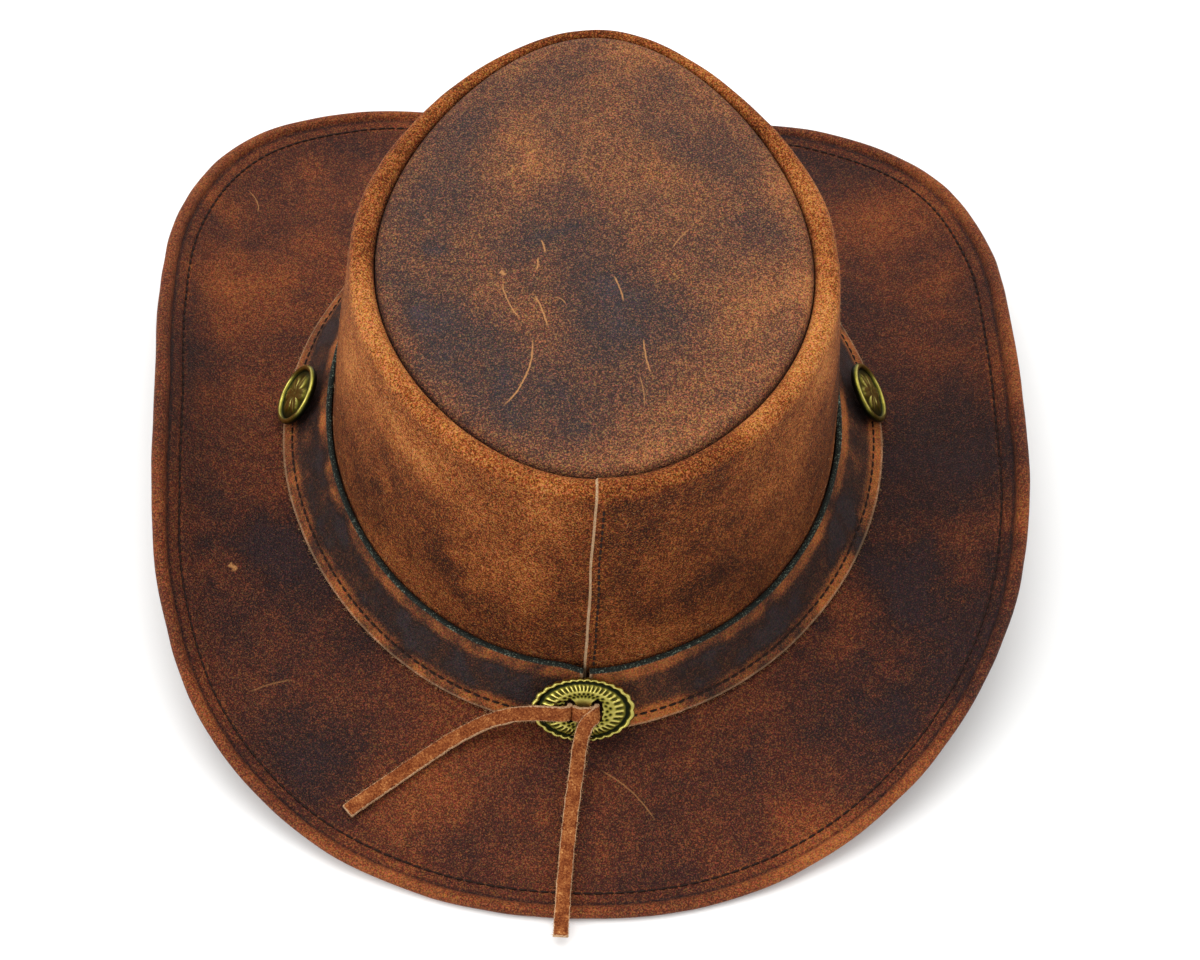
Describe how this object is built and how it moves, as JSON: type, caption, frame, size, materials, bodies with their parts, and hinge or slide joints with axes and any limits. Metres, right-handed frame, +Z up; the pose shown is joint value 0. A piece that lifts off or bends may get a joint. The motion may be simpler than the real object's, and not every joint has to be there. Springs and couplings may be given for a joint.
{
  "type": "leather cowboy hat",
  "caption": "Leather cowboy hat with a flat-topped teardrop crown, a side-rolled brim with a stitched hem, a sewn band, brass studs and a laced brass concho at the back.",
  "frame": {"origin": "on the surface the hat rests on, under the middle of the brim's outline", "axes": "+Z up through the crown, +Y towards the back of the hat where the concho and lace are, +X on the wearer's left"},
  "size_m": [0.295, 0.3386, 0.125],
  "materials": {
    "crown_leather": "waxed pull-up",
    "brim_leather": "waxed pull-up",
    "band_leather": "waxed pull-up",
    "antique_brass": "antiqued",
    "suede_lace": "suede"
  },
  "bodies": {
    "root": {"brim": "brim_leather", "crown_wall": "crown_leather", "crown_tip": "crown_leather", "hat_band": "band_leather", "stud_left": "antique_brass", "stud_right": "antique_brass", "back_concho": "antique_brass", "lace_left": "suede_lace", "lace_back": "suede_lace"}
  },
  "joints": []
}
